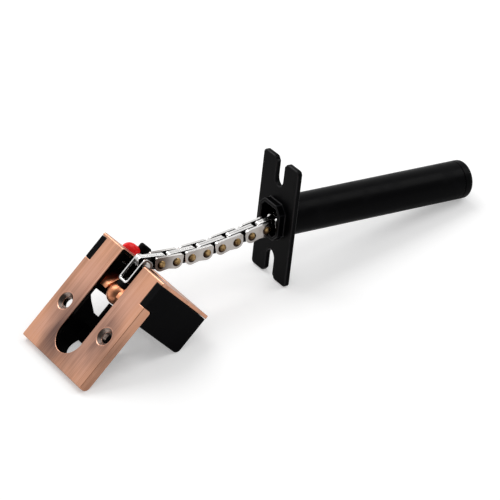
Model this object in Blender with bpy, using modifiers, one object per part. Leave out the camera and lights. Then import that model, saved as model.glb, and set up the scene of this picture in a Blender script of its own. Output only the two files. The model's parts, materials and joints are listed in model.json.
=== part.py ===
"""Concealed door chain at rest on a table.

A black barrel with a slotted face plate holds a leaf chain, whose stop slides in the bore.
The chain ends in a polished clevis with a copper ball, which hangs behind two jaws in the
U-slot of a copper keeper. Lengths are in metres, with +Z up.
"""

import math

import bmesh
import bpy
from mathutils import Matrix, Vector

# Barrel and face plate, in the barrel's frame: x into the barrel, y across, z up the plate
BARREL_RADIUS = 0.011
BARREL_WALL = 0.0015
BARREL_LENGTH = 0.126
CAP_LENGTH = 0.006
CAP_ROUND = 0.003
SPIGOT_LENGTH = 0.006
PLATE_HEIGHT = 0.070
PLATE_WIDTH = 0.033
PLATE_THICKNESS = 0.003
PLATE_CORNER = 0.0022
SCREW_SLOT_WIDTH = 0.009
SCREW_SLOT_DEPTH = 0.0155
COLLAR_WALL = 0.0022
COLLAR_LENGTH = 0.004
COLLAR_CHAMFER = 0.0042
MOUTH_WIDTH = 0.015
MOUTH_HEIGHT = 0.017
MOUTH_CHAMFER = 0.0025

# Leaf chain
PITCH = 0.009525
LINK_COUNT = 11
LINK_HEIGHT = 0.008
LINK_WAIST = 0.0068
LINK_THICKNESS = 0.0016
LINK_SIDE_PLAY = 0.0008
PIN_RADIUS = 0.0018
PIN_HEAD_RADIUS = 0.0021
PIN_HEAD_LENGTH = 0.0007
PIN_HEAD_CHAMFER = 0.0002

# Chain stop, which slides in the bore
STOP_LENGTH = 0.0135
STOP_PIN_SETBACK = 0.005
STOP_SETBACK = 0.0162

# Clevis and ball, in the keeper's frame: x back from its face, y across, z up its face
CLEVIS_WIDTH = 0.0074
CLEVIS_ABOVE_PIN = 0.0034
CLEVIS_DROP = 0.0138
CLEVIS_CORNER = 0.0024
CLEVIS_BEND = 0.0003
BALL_RADIUS = 0.0058
BALL_DROP = 0.0212
BALL_FLAT = 0.0046
STUD_RADIUS = 0.0017
STUD_HEAD_RADIUS = 0.0021
STUD_HEAD_LENGTH = 0.0014
STUD_REACH = 0.0018
WASHER_RADIUS = 0.0042
PIN_BEHIND_FACE = 0.0074

# Keeper
KEEPER_WIDTH = 0.061
KEEPER_HEIGHT = 0.070
KEEPER_DEPTH = 0.040
KEEPER_WALL = 0.0025
TOP_THICKNESS = 0.002
FLANGE_DEPTH = 0.006
EDGE_ROUND = 0.001
FOOT_ROUND = 0.003
NOTCH_ROUND = 0.0015
SLOT_WIDTH = 0.021
SLOT_FOOT = 0.007
TOP_SLOT_LENGTH = 0.028
TOP_SLOT_CORNER = 0.005
NOTCH_WIDTH = 0.0047
NOTCH_HEIGHT = 0.0145
SCREW_HOLE_SPACING = 0.041
SCREW_HOLE_DROP = 0.0413
SCREW_HOLE_RADIUS = 0.0026
SCREW_SINK_RADIUS = 0.0047
SCREW_SINK_DEPTH = 0.0019
BOX_HEIGHT = 0.024
BOX_WALL = 0.002
CHANNEL_WIDTH = 0.027
CHANNEL_LENGTH = 0.0315
JAW_GAP = 0.010
JAW_THICKNESS = 0.0015
JAW_REACH = 0.0108
JAW_SLOPE_DEG = 58.7
LINER_WALL = 0.0018
LINER_TOP_DROP = 0.030
LINER_SHOULDER_DROP = 0.039
LINER_DEPTH = 0.014
LINER_FOOT_DEPTH = 0.007

# Thumb turn on the keeper's top
TURN_RADIUS = 0.0036
TURN_HEIGHT = 0.0062
TURN_ROUND = 0.0012
TURN_BACK = 0.022
TURN_ASIDE = 0.0215
SPINDLE_RADIUS = 0.0016
SPINDLE_REACH = 0.0092
TIP_LENGTH = 0.0102
TIP_WIDTH = 0.007
TIP_HEIGHT = 0.0044
CAM_RADIUS = 0.0038
CAM_ARM = 0.0115
CAM_TIP_RADIUS = 0.002
CAM_THICKNESS = 0.002
CAM_BELOW = 0.0008
CLIP_RADIUS = 0.003
CLIP_THICKNESS = 0.0008

# Clearances and cutting
SEAT = 0.0003
FIT = 0.0001
OVERRUN = 0.002
WELD = 0.000001

# Rise of each link towards the keeper, in degrees, from the stop outwards
LINK_RISE_DEG = (4.0, 3.0, 0.0, 1.0, 1.0, 1.5, 3.5, 6.5, 9.0, 13.0, 17.0)
# Height of a link plate's edge between its pins, as shares of the way along and of the waist
WAIST_ALONG_SHARES = (0.25, 0.5, 0.75)
WAIST_DEPTH_SHARES = (0.6, 1.0, 0.6)

ROUND_STEPS = 48
PIN_STEPS = 16
KNOB_STEPS = 24
BALL_RINGS = 12
CORNER_STEPS = 5

# The outline planes: the outline's own x and y become the two axes named
PLANE = {
    "xy": Matrix.Identity(3),
    "xz": Matrix(((1, 0, 0), (0, 0, -1), (0, 1, 0))),
    "yz": Matrix(((0, 0, 1), (1, 0, 0), (0, 1, 0))),
}

# Colour, roughness and metallic value of each material
FINISHES = {
    "black_paint": ((0.012, 0.012, 0.014), 0.35, 0.0),
    "black_plastic": ((0.010, 0.010, 0.011), 0.5, 0.0),
    "black_rubber": ((0.015, 0.015, 0.015), 0.8, 0.0),
    "copper": ((0.72, 0.38, 0.26), 0.3, 1.0),
    "polished_steel": ((0.78, 0.77, 0.76), 0.15, 1.0),
    "bronze": ((0.42, 0.28, 0.12), 0.3, 1.0),
    "red_plastic": ((0.75, 0.02, 0.02), 0.35, 0.0),
}

# Sizes that several pieces share
bore_radius = BARREL_RADIUS - BARREL_WALL
outer_plate_inside = FIT + LINK_THICKNESS + LINK_SIDE_PLAY
outer_plate_outside = outer_plate_inside + LINK_THICKNESS
hole_radius = PIN_RADIUS + FIT
box_top = TOP_THICKNESS + SEAT
box_foot = TOP_THICKNESS + BOX_HEIGHT
box_back = KEEPER_DEPTH - SEAT
slot_centre_drop = KEEPER_HEIGHT - SLOT_FOOT - SLOT_WIDTH / 2


def clear_scene():
    for found in list(bpy.data.objects):
        bpy.data.objects.remove(found)


def new_collection(name):
    collection = bpy.data.collections.new(name)
    bpy.context.scene.collection.children.link(collection)
    return collection


def new_material(name):
    colour, roughness, metallic = FINISHES[name]
    material = bpy.data.materials.new(name)
    material.use_nodes = True
    shader = material.node_tree.nodes["Principled BSDF"]
    shader.inputs["Base Color"].default_value = (*colour, 1)
    shader.inputs["Roughness"].default_value = roughness
    shader.inputs["Metallic"].default_value = metallic
    return material


def new_frame(name, parent, location=(0, 0, 0), turn=0):
    """An empty that carries the pieces of one body, turned about Y."""
    frame = bpy.data.objects.new(name, None)
    PARTS.objects.link(frame)
    frame.parent = parent
    frame.location = location
    frame.rotation_euler = (0, turn, 0)
    return frame


def new_piece(name, mesh, frame, finish=None, location=(0, 0, 0)):
    """A piece in a frame, or a cutter where it has no finish."""
    piece = bpy.data.objects.new(name, mesh)
    piece.parent = frame
    piece.location = location
    if finish:
        PARTS.objects.link(piece)
        mesh.materials.clear()
        mesh.materials.append(new_material(finish))
    else:
        CUTTERS.objects.link(piece)
        piece.hide_render = True
        piece.display_type = "WIRE"
    return piece


def boolean(piece, tool, operation="DIFFERENCE"):
    modifier = piece.modifiers.new(tool.name, "BOOLEAN")
    modifier.solver = "EXACT"
    modifier.operation = operation
    modifier.object = tool


def smooth(mesh):
    mesh.shade_smooth()
    mesh.set_sharp_from_angle(angle=math.radians(35))


def arc(centre_x, centre_y, radius, start, end, steps):
    """Points along an arc, from one angle in degrees to another."""
    angles = [math.radians(start + (end - start) * i / steps) for i in range(steps + 1)]
    return [(centre_x + radius * math.cos(a), centre_y + radius * math.sin(a)) for a in angles]


def circle(centre_x, centre_y, radius, steps):
    return arc(centre_x, centre_y, radius, 0, 360, steps)[:-1]


def rectangle(low_x, low_y, high_x, high_y, corner=0):
    """A rectangle's outline, with its corners rounded where a radius is given."""
    if not corner:
        return [(low_x, low_y), (high_x, low_y), (high_x, high_y), (low_x, high_y)]
    return (
        arc(low_x + corner, low_y + corner, corner, 180, 270, CORNER_STEPS)
        + arc(high_x - corner, low_y + corner, corner, 270, 360, CORNER_STEPS)
        + arc(high_x - corner, high_y - corner, corner, 0, 90, CORNER_STEPS)
        + arc(low_x + corner, high_y - corner, corner, 90, 180, CORNER_STEPS)
    )


def octagon(half_width, half_height, chamfer):
    corners = ((1, 1), (-1, 1), (-1, -1), (1, -1))
    points = []
    for i, (sx, sy) in enumerate(corners):
        near = (sx * half_width, sy * (half_height - chamfer))
        far = (sx * (half_width - chamfer), sy * half_height)
        points += [near, far] if i % 2 == 0 else [far, near]
    return points


def prism(name, loops, low, high, plane="xy"):
    """A flat outline with its holes, extruded between two heights square to its plane."""
    curve = bpy.data.curves.new(name, "CURVE")
    curve.dimensions = "2D"
    curve.fill_mode = "BOTH"
    curve.extrude = (high - low) / 2
    for loop in loops:
        spline = curve.splines.new("POLY")
        spline.points.add(len(loop) - 1)
        spline.use_cyclic_u = True
        for point, (x, y) in zip(spline.points, loop):
            point.co = (x, y, 0, 1)
    guide = bpy.data.objects.new(name, curve)
    CUTTERS.objects.link(guide)
    mesh = bpy.data.meshes.new_from_object(guide.evaluated_get(bpy.context.evaluated_depsgraph_get()))
    bpy.data.objects.remove(guide)
    bpy.data.curves.remove(curve)
    shape = bmesh.new()
    shape.from_mesh(mesh)
    bmesh.ops.remove_doubles(shape, verts=shape.verts, dist=WELD)
    bmesh.ops.translate(shape, verts=shape.verts, vec=(0, 0, (low + high) / 2))
    bmesh.ops.transform(shape, matrix=PLANE[plane].to_4x4(), verts=shape.verts)
    bmesh.ops.recalc_face_normals(shape, faces=shape.faces)
    shape.to_mesh(mesh)
    shape.free()
    mesh.name = name
    return mesh


def block(name, low, high):
    """A box between two corners."""
    shape = bmesh.new()
    bmesh.ops.create_cube(shape, size=1)
    size = Vector(high) - Vector(low)
    centre = (Vector(high) + Vector(low)) / 2
    bmesh.ops.scale(shape, vec=size, verts=shape.verts)
    bmesh.ops.translate(shape, vec=centre, verts=shape.verts)
    mesh = bpy.data.meshes.new(name)
    shape.to_mesh(mesh)
    shape.free()
    return mesh


def turned(name, profile, steps, axis="z", closed=False):
    """A profile of (radius, height) points, outer side first from the top, turned about an axis."""
    mesh = bpy.data.meshes.new(name)
    points = [(radius, 0, height) for radius, height in profile]
    edges = [(i, i + 1) for i in range(len(points) - 1)]
    if closed:
        edges.append((len(points) - 1, 0))
    mesh.from_pydata(points, edges, [])
    guide = bpy.data.objects.new(name, mesh)
    CUTTERS.objects.link(guide)
    screw = guide.modifiers.new("turn", "SCREW")
    screw.axis = "Z"
    screw.steps = steps
    screw.render_steps = steps
    screw.use_merge_vertices = True
    screw.merge_threshold = WELD
    made = bpy.data.meshes.new_from_object(guide.evaluated_get(bpy.context.evaluated_depsgraph_get()))
    bpy.data.objects.remove(guide)
    shape = bmesh.new()
    shape.from_mesh(made)
    bmesh.ops.remove_doubles(shape, verts=shape.verts, dist=WELD)
    bmesh.ops.recalc_face_normals(shape, faces=shape.faces)
    if axis == "x":
        bmesh.ops.rotate(shape, matrix=Matrix.Rotation(math.radians(90), 3, "Y"), verts=shape.verts)
    elif axis == "y":
        bmesh.ops.rotate(shape, matrix=Matrix.Rotation(math.radians(90), 3, "X"), verts=shape.verts)
    shape.to_mesh(made)
    shape.free()
    made.name = name
    smooth(made)
    return made


def rod(name, radius, low, high, steps, axis="z"):
    return turned(name, [(0, high), (radius, high), (radius, low), (0, low)], steps, axis)


def barrel_tilt():
    """The barrel lies on its plate's back lower edge and on its cap's round, so it slopes down."""
    rise = PLATE_HEIGHT / 2 - BARREL_RADIUS + CAP_ROUND
    run = BARREL_LENGTH - CAP_ROUND
    return math.acos(CAP_ROUND / math.hypot(rise, run)) - math.atan2(run, rise)


def keeper_tilt():
    """The keeper lies on its flange's foot and on its box's back edge, like a tent.

    Both have the same round, so the line between their middles lies along the table."""
    run = box_back - FLANGE_DEPTH
    rise = KEEPER_HEIGHT - box_foot
    return math.atan2(rise, run)


def face_height():
    """Height of the barrel's axis at the plate's front."""
    tilt = barrel_tilt()
    return PLATE_HEIGHT / 2 * math.cos(tilt) + PLATE_THICKNESS * math.sin(tilt)


def keeper_height():
    """Height of the keeper's top front edge."""
    tilt = keeper_tilt()
    along = FLANGE_DEPTH - FOOT_ROUND
    down = KEEPER_HEIGHT - FOOT_ROUND
    return FOOT_ROUND + along * math.sin(tilt) + down * math.cos(tilt)


def pin_places():
    """The chain's pins, (x, z), from the stop out to the clevis, whose pin the keeper carries.

    The free links turn together until the last pin is as high as the clevis."""
    tilt = barrel_tilt()
    into = STOP_SETBACK + STOP_PIN_SETBACK
    first = (into * math.cos(tilt), face_height() - into * math.sin(tilt))
    goal = keeper_height() - PIN_BEHIND_FACE * math.sin(keeper_tilt())

    def path(extra):
        places = [first]
        for rise in LINK_RISE_DEG:
            angle = math.radians(rise) + extra
            x, z = places[-1]
            places.append((x - PITCH * math.cos(angle), z + PITCH * math.sin(angle)))
        return places

    low, high = math.radians(-45), math.radians(45)
    for _ in range(50):
        middle = (low + high) / 2
        if path(middle)[-1][1] < goal:
            low = middle
        else:
            high = middle
    return path(low)


def barrel_tube(frame):
    front = PLATE_THICKNESS + SEAT
    back = PLATE_THICKNESS + BARREL_LENGTH - CAP_LENGTH - SEAT
    profile = [(BARREL_RADIUS, back), (BARREL_RADIUS, front), (bore_radius, front), (bore_radius, back)]
    tube = turned("barrel_tube", profile, ROUND_STEPS, "x", closed=True)
    new_piece("barrel_tube", tube, frame, "black_paint")


def barrel_cap(frame):
    end = PLATE_THICKNESS + BARREL_LENGTH
    front = end - CAP_LENGTH
    spigot = bore_radius - SEAT
    corner = arc(BARREL_RADIUS - CAP_ROUND, end - CAP_ROUND, CAP_ROUND, 90, 0, 2 * CORNER_STEPS)
    profile = [(0, end), *corner, (BARREL_RADIUS, front), (spigot, front)]
    profile += [(spigot, front - SPIGOT_LENGTH), (0, front - SPIGOT_LENGTH)]
    new_piece("barrel_cap", turned("barrel_cap", profile, ROUND_STEPS, "x"), frame, "black_paint")


def face_plate(frame):
    """A plate with a screw slot open at each end and a chamfered collar round the chain's mouth."""
    half_width = PLATE_WIDTH / 2
    half_height = PLATE_HEIGHT / 2
    slot = SCREW_SLOT_WIDTH / 2
    corner = PLATE_CORNER
    slot_centre = half_height - SCREW_SLOT_DEPTH + slot
    inner = half_width - corner
    top = (
        arc(inner, half_height - corner, corner, 0, 90, CORNER_STEPS)
        + arc(slot + corner, half_height - corner, corner, 90, 180, CORNER_STEPS)
        + arc(0, slot_centre, slot, 0, -180, 2 * CORNER_STEPS)
        + arc(-slot - corner, half_height - corner, corner, 0, 90, CORNER_STEPS)
        + arc(-inner, half_height - corner, corner, 90, 180, CORNER_STEPS)
    )
    outline = top + [(-x, -y) for x, y in top]
    flat = prism("face_plate", [outline], 0, PLATE_THICKNESS, "yz")
    plate = new_piece("face_plate", flat, frame, "black_paint")
    collar_half_width = MOUTH_WIDTH / 2 + COLLAR_WALL
    collar_half_height = MOUTH_HEIGHT / 2 + COLLAR_WALL
    collar_outline = octagon(collar_half_width, collar_half_height, COLLAR_CHAMFER)
    collar = prism("collar", [collar_outline], -COLLAR_LENGTH, PLATE_THICKNESS / 2, "yz")
    boolean(plate, new_piece("collar", collar, frame), "UNION")
    mouth_outline = octagon(MOUTH_WIDTH / 2, MOUTH_HEIGHT / 2, MOUTH_CHAMFER)
    mouth = prism("mouth", [mouth_outline], -COLLAR_LENGTH - OVERRUN, PLATE_THICKNESS + OVERRUN, "yz")
    boolean(plate, new_piece("mouth", mouth, frame))


def chain_stop(frame):
    """A round slug, forked to take the last link, that can't pass the face plate's mouth."""
    front = -STOP_PIN_SETBACK
    radius = bore_radius - SEAT
    chamfer = EDGE_ROUND
    back = front + STOP_LENGTH
    profile = [(0, back), (radius - chamfer, back), (radius, back - chamfer)]
    profile += [(radius, front + chamfer), (radius - chamfer, front), (0, front)]
    stop = new_piece("chain_stop", turned("chain_stop", profile, ROUND_STEPS, "x"), frame, "polished_steel")
    half_gap = FIT + LINK_THICKNESS + SEAT
    depth = LINK_HEIGHT / 2 + SEAT
    reach = radius + OVERRUN
    gap = block("stop_gap", (front - OVERRUN, -half_gap, -reach), (depth, half_gap, reach))
    boolean(stop, new_piece("stop_gap", gap, frame))
    bore = rod("stop_bore", hole_radius, -reach, reach, PIN_STEPS, "y")
    boolean(stop, new_piece("stop_bore", bore, frame))
    half = radius - EDGE_ROUND
    pin = rod("chain_stop_pin", PIN_RADIUS, -half, half, PIN_STEPS, "y")
    new_piece("chain_stop_pin", pin, frame, "bronze")


def link_outline():
    """A leaf plate: round ends about its two pins, drawn in between them."""
    radius = LINK_HEIGHT / 2
    dip = (LINK_HEIGHT - LINK_WAIST) / 2
    shares = zip(WAIST_ALONG_SHARES, WAIST_DEPTH_SHARES)
    waist = [(PITCH * along, radius - dip * depth) for along, depth in shares]
    far_end = arc(PITCH, 0, radius, -85, 85, 2 * CORNER_STEPS)
    near_end = arc(0, 0, radius, 95, 265, 2 * CORNER_STEPS)
    top = [(x, y) for x, y in reversed(waist)]
    bottom = [(x, -y) for x, y in waist]
    return far_end + top + near_end + bottom


def link_plate(name, frame, low, high):
    holes = [circle(x, 0, hole_radius, PIN_STEPS) for x in (0, PITCH)]
    mesh = prism(name, [link_outline(), *holes], low, high, "xz")
    smooth(mesh)
    new_piece(name, mesh, frame, "polished_steel")


def riveted_pin(name, frame, along, half_length, finish="bronze"):
    """A pin with a rivet head past each outer plate."""
    seat = half_length + FIT
    end = seat + PIN_HEAD_LENGTH
    half = [
        (PIN_HEAD_RADIUS - PIN_HEAD_CHAMFER, end),
        (PIN_HEAD_RADIUS, end - PIN_HEAD_CHAMFER),
        (PIN_HEAD_RADIUS, seat),
        (PIN_RADIUS, seat),
    ]
    profile = [(0, end), *half, *[(r, -h) for r, h in reversed(half)], (0, -end)]
    new_piece(name, turned(name, profile, PIN_STEPS, "y"), frame, finish, (along, 0, 0))


def chain(rig, places):
    """Inner links of two plates side by side, between outer links with a plate each side."""
    for i, rise_end in enumerate(places[1:]):
        start = places[i]
        turn = math.pi + math.atan2(rise_end[1] - start[1], start[0] - rise_end[0])
        number = (LINK_COUNT - i + 1) // 2
        if i % 2 == 0:
            frame = new_frame(f"inner_link_{number}_frame", rig, (start[0], 0, start[1]), turn)
            link_plate(f"inner_plate_{number}_near", frame, FIT, FIT + LINK_THICKNESS)
            link_plate(f"inner_plate_{number}_far", frame, -FIT - LINK_THICKNESS, -FIT)
        else:
            frame = new_frame(f"outer_link_{number}_frame", rig, (start[0], 0, start[1]), turn)
            link_plate(f"outer_plate_{number}_near", frame, outer_plate_inside, outer_plate_outside)
            link_plate(f"outer_plate_{number}_far", frame, -outer_plate_outside, -outer_plate_inside)
            riveted_pin(f"chain_pin_{2 * number}", frame, 0, outer_plate_outside)
            riveted_pin(f"chain_pin_{2 * number - 1}", frame, PITCH, outer_plate_outside)


def clevis(frame):
    """A strip bent to a U, with the chain's last pin across its top and the stud through its bridge."""
    outside = outer_plate_outside
    inside = outer_plate_inside
    foot = -CLEVIS_DROP
    top = CLEVIS_ABOVE_PIN
    outer_bend = CLEVIS_BEND + LINK_THICKNESS
    strip = (
        [(outside, top + OVERRUN)]
        + arc(outside - outer_bend, foot + outer_bend, outer_bend, 0, -90, CORNER_STEPS)
        + arc(-outside + outer_bend, foot + outer_bend, outer_bend, -90, -180, CORNER_STEPS)
        + [(-outside, top + OVERRUN), (-inside, top + OVERRUN)]
        + arc(-inside + CLEVIS_BEND, foot + outer_bend, CLEVIS_BEND, 180, 270, CORNER_STEPS)
        + arc(inside - CLEVIS_BEND, foot + outer_bend, CLEVIS_BEND, -90, 0, CORNER_STEPS)
        + [(inside, top + OVERRUN)]
    )
    half = CLEVIS_WIDTH / 2
    corner = CLEVIS_CORNER
    side = (
        [(-half, foot - OVERRUN), (half, foot - OVERRUN)]
        + arc(half - corner, top - corner, corner, 0, 90, CORNER_STEPS)
        + arc(-half + corner, top - corner, corner, 90, 180, CORNER_STEPS)
    )
    body = prism("clevis", [strip], -half - OVERRUN, half + OVERRUN, "yz")
    piece = new_piece("clevis", body, frame, "polished_steel")
    reach = outside + OVERRUN
    sides = prism("clevis_side", [side, circle(0, 0, hole_radius, PIN_STEPS)], -reach, reach, "xz")
    boolean(piece, new_piece("clevis_side", sides, frame), "INTERSECT")
    bore = rod("stud_bore", STUD_RADIUS + FIT, foot - OVERRUN, foot + LINK_THICKNESS + OVERRUN, PIN_STEPS)
    boolean(piece, new_piece("stud_bore", bore, frame))
    riveted_pin("clevis_pin", frame, 0, outer_plate_outside, "polished_steel")


def ball_end(frame):
    """The copper ball, riveted to the clevis by a stud, with a black washer between them."""
    centre = -BALL_DROP
    flat = centre + BALL_FLAT
    stud_foot = centre - STUD_REACH
    bore = STUD_RADIUS + FIT
    start = math.degrees(math.asin(BALL_FLAT / BALL_RADIUS))
    curve = arc(0, centre, BALL_RADIUS, start, -90, BALL_RINGS)
    profile = [(0, stud_foot - FIT), (bore, stud_foot - FIT), (bore, flat)]
    profile += [*curve[:-1], (0, centre - BALL_RADIUS)]
    new_piece("ball", turned("ball", profile, KNOB_STEPS), frame, "copper")
    bridge_top = -CLEVIS_DROP + LINK_THICKNESS + FIT
    head = bridge_top + STUD_HEAD_LENGTH
    profile = [(0, head), (STUD_HEAD_RADIUS, head), (STUD_HEAD_RADIUS, bridge_top), (STUD_RADIUS, bridge_top)]
    profile += [(STUD_RADIUS, stud_foot), (0, stud_foot)]
    new_piece("stud", turned("stud", profile, PIN_STEPS), frame, "polished_steel")
    top = -CLEVIS_DROP - FIT
    foot = flat + FIT
    profile = [(WASHER_RADIUS, top), (WASHER_RADIUS, foot), (bore, foot), (bore, top)]
    new_piece("ball_washer", turned("ball_washer", profile, KNOB_STEPS, closed=True), frame, "black_rubber")


def keeper_shell(frame):
    """A cast plate with returned edges and a top, slotted for the chain from the face over the top."""
    half = KEEPER_WIDTH / 2
    height = KEEPER_HEIGHT
    corner = EDGE_ROUND
    outline = (
        arc(corner, -height + corner, corner, 180, 270, CORNER_STEPS)
        + arc(FLANGE_DEPTH - FOOT_ROUND, -height + FOOT_ROUND, FOOT_ROUND, -90, 0, CORNER_STEPS)
        + [(FLANGE_DEPTH, -TOP_THICKNESS), (KEEPER_DEPTH, -TOP_THICKNESS), (KEEPER_DEPTH, 0)]
        + arc(corner, -corner, corner, 90, 180, CORNER_STEPS)
    )
    shell = new_piece("keeper_shell", prism("keeper_shell", [outline], -half, half, "xz"), frame, "copper")
    wall = KEEPER_WALL
    pocket = block(
        "keeper_pocket",
        (wall, -half + wall, -height + wall),
        (FLANGE_DEPTH + OVERRUN, half - wall, -TOP_THICKNESS),
    )
    boolean(shell, new_piece("keeper_pocket", pocket, frame))
    slot = SLOT_WIDTH / 2
    slot_foot = arc(0, -slot_centre_drop, slot, 0, -180, 4 * CORNER_STEPS)
    slot_outline = [(slot, OVERRUN), *slot_foot, (-slot, OVERRUN)]
    face_slot = prism("face_slot", [slot_outline], -OVERRUN, wall + OVERRUN, "yz")
    boolean(shell, new_piece("face_slot", face_slot, frame))
    top_outline = rectangle(-TOP_SLOT_CORNER, -slot, TOP_SLOT_LENGTH, slot, TOP_SLOT_CORNER)
    top_slot = prism("top_slot", [top_outline], -TOP_THICKNESS - OVERRUN / 2, OVERRUN / 2)
    boolean(shell, new_piece("top_slot", top_slot, frame))
    reach = half + OVERRUN
    notch_foot = -TOP_THICKNESS - NOTCH_HEIGHT
    notch_back = FLANGE_DEPTH + OVERRUN
    notch_outline = [
        (-OVERRUN, -TOP_THICKNESS),
        (-OVERRUN, notch_foot),
        *arc(FLANGE_DEPTH - NOTCH_ROUND, notch_foot - NOTCH_ROUND, NOTCH_ROUND, 90, 0, CORNER_STEPS),
        (notch_back, notch_foot - NOTCH_ROUND),
        (notch_back, -TOP_THICKNESS),
    ]
    for side, name in ((1, "far"), (-1, "near")):
        low, high = sorted((-side * (half - NOTCH_WIDTH), -side * reach))
        notch = prism(f"notch_{name}", [notch_outline], low, high, "xz")
        boolean(shell, new_piece(f"notch_{name}", notch, frame))
        sink = SCREW_SINK_RADIUS
        slope = (sink - SCREW_HOLE_RADIUS) / SCREW_SINK_DEPTH
        profile = [
            (0, wall + OVERRUN),
            (SCREW_HOLE_RADIUS, wall + OVERRUN),
            (SCREW_HOLE_RADIUS, SCREW_SINK_DEPTH),
            (sink + slope * OVERRUN, -OVERRUN),
            (0, -OVERRUN),
        ]
        drill = turned(f"screw_hole_{name}", profile, KNOB_STEPS, "x")
        place = (0, side * SCREW_HOLE_SPACING / 2, -SCREW_HOLE_DROP)
        boolean(shell, new_piece(f"screw_hole_{name}", drill, frame, location=place))
    bore = rod("turn_bore", SPINDLE_RADIUS + SEAT, -TOP_THICKNESS - OVERRUN, OVERRUN, PIN_STEPS)
    boolean(shell, new_piece("turn_bore", bore, frame, location=(TURN_BACK, TURN_ASIDE, 0)))


def lock_box(frame):
    """A black box under the top, open below, with a channel for the chain down its middle."""
    half = KEEPER_WIDTH / 2
    front = FLANGE_DEPTH + SEAT
    foot = -box_foot
    top = -box_top
    corner = FOOT_ROUND
    outline = [(front, top), (front, foot)]
    outline += arc(box_back - corner, foot + corner, corner, -90, 0, CORNER_STEPS)
    outline.append((box_back, top))
    box = new_piece("lock_box", prism("lock_box", [outline], -half, half, "xz"), frame, "black_plastic")
    neck_half = half - KEEPER_WALL - SEAT
    neck = block("box_neck", (KEEPER_WALL + SEAT, -neck_half, foot), (front + OVERRUN, neck_half, top))
    boolean(box, new_piece("box_neck", neck, frame), "UNION")
    lug_foot = -TOP_THICKNESS - NOTCH_HEIGHT + SEAT
    for side, name in ((1, "far"), (-1, "near")):
        inner, outer = sorted((side * (half - NOTCH_WIDTH + SEAT), side * half))
        lug = block(f"box_lug_{name}", (0, inner, lug_foot), (front + OVERRUN, outer, top))
        boolean(box, new_piece(f"box_lug_{name}", lug, frame), "UNION")
    channel_half = CHANNEL_WIDTH / 2
    low = (-OVERRUN, -channel_half, foot - OVERRUN)
    channel = block("box_channel", low, (CHANNEL_LENGTH, channel_half, top + OVERRUN))
    boolean(box, new_piece("box_channel", channel, frame))
    ceiling = top - BOX_WALL
    back = box_back - BOX_WALL
    for side, name in ((1, "far"), (-1, "near")):
        inner, outer = sorted((side * (channel_half + BOX_WALL), side * (half - KEEPER_WALL - BOX_WALL)))
        low = (KEEPER_WALL + BOX_WALL, inner, foot - OVERRUN)
        room = block(f"box_room_{name}", low, (back, outer, ceiling))
        boolean(box, new_piece(f"box_room_{name}", room, frame))
    end = CHANNEL_LENGTH + BOX_WALL
    rear = block("box_room_rear", (end, -channel_half, foot - OVERRUN), (back, channel_half, ceiling))
    boolean(box, new_piece("box_room_rear", rear, frame))
    sweep = CAM_ARM + CAM_TIP_RADIUS + SEAT
    window_low = (TURN_BACK - sweep, channel_half - BOX_WALL, ceiling - CAM_BELOW - CAM_THICKNESS - SEAT)
    window_high = (TURN_BACK + CAM_RADIUS + SEAT, channel_half + 2 * BOX_WALL, ceiling)
    window = block("cam_window", window_low, window_high)
    boolean(box, new_piece("cam_window", window, frame))
    bore = rod("box_bore", SPINDLE_RADIUS + SEAT, ceiling - OVERRUN, top + OVERRUN, PIN_STEPS)
    boolean(box, new_piece("box_bore", bore, frame, location=(TURN_BACK, TURN_ASIDE, 0)))


def jaws(frame):
    """Two sloping jaws behind the face, closer than the ball is wide, so the ball seats behind them."""
    seat = math.sqrt(BALL_RADIUS**2 - (JAW_GAP / 2) ** 2) + SEAT
    slope = math.radians(JAW_SLOPE_DEG)
    along = Vector((math.cos(slope), math.sin(slope)))
    out = Vector((-math.sin(slope), math.cos(slope)))
    centre = Vector((PIN_BEHIND_FACE, -BALL_DROP))
    front = KEEPER_WALL + SEAT

    def on_line(offset, x):
        start = centre + out * offset
        return (x, start[1] + (x - start[0]) * along[1] / along[0])

    outline = [
        on_line(seat, front),
        on_line(seat, JAW_REACH),
        on_line(seat + JAW_THICKNESS, JAW_REACH),
        on_line(seat + JAW_THICKNESS, front),
    ]
    inner = JAW_GAP / 2
    outer = CHANNEL_WIDTH / 2 - SEAT
    new_piece("jaw_near", prism("jaw_near", [outline], inner, outer, "xz"), frame, "copper")
    new_piece("jaw_far", prism("jaw_far", [outline], -outer, -inner, "xz"), frame, "copper")


def slot_liner(frame):
    """A black trough behind the U-slot's round foot, cut back so that it clears a flat surface."""
    inner = SLOT_WIDTH / 2 + SEAT
    outer = inner + LINER_WALL
    top = -LINER_TOP_DROP
    trough = [(outer, top + OVERRUN)]
    trough += arc(0, -slot_centre_drop, outer, 0, -180, 4 * CORNER_STEPS)
    trough += [(-outer, top + OVERRUN), (-inner, top + OVERRUN)]
    trough += arc(0, -slot_centre_drop, inner, -180, 0, 4 * CORNER_STEPS)
    trough += [(inner, top + OVERRUN)]
    front = KEEPER_WALL + SEAT
    depth = LINER_DEPTH + OVERRUN
    wall = prism("slot_liner", [trough], front - OVERRUN, depth, "yz")
    liner = new_piece("slot_liner", wall, frame, "black_plastic")
    foot = -slot_centre_drop - outer - OVERRUN
    side = [
        (front, foot),
        (LINER_FOOT_DEPTH, foot),
        (LINER_DEPTH, -LINER_SHOULDER_DROP),
        (front, top),
    ]
    reach = outer + OVERRUN
    profile = prism("liner_side", [side], -reach, reach, "xz")
    boolean(liner, new_piece("liner_side", profile, frame), "INTERSECT")


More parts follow.
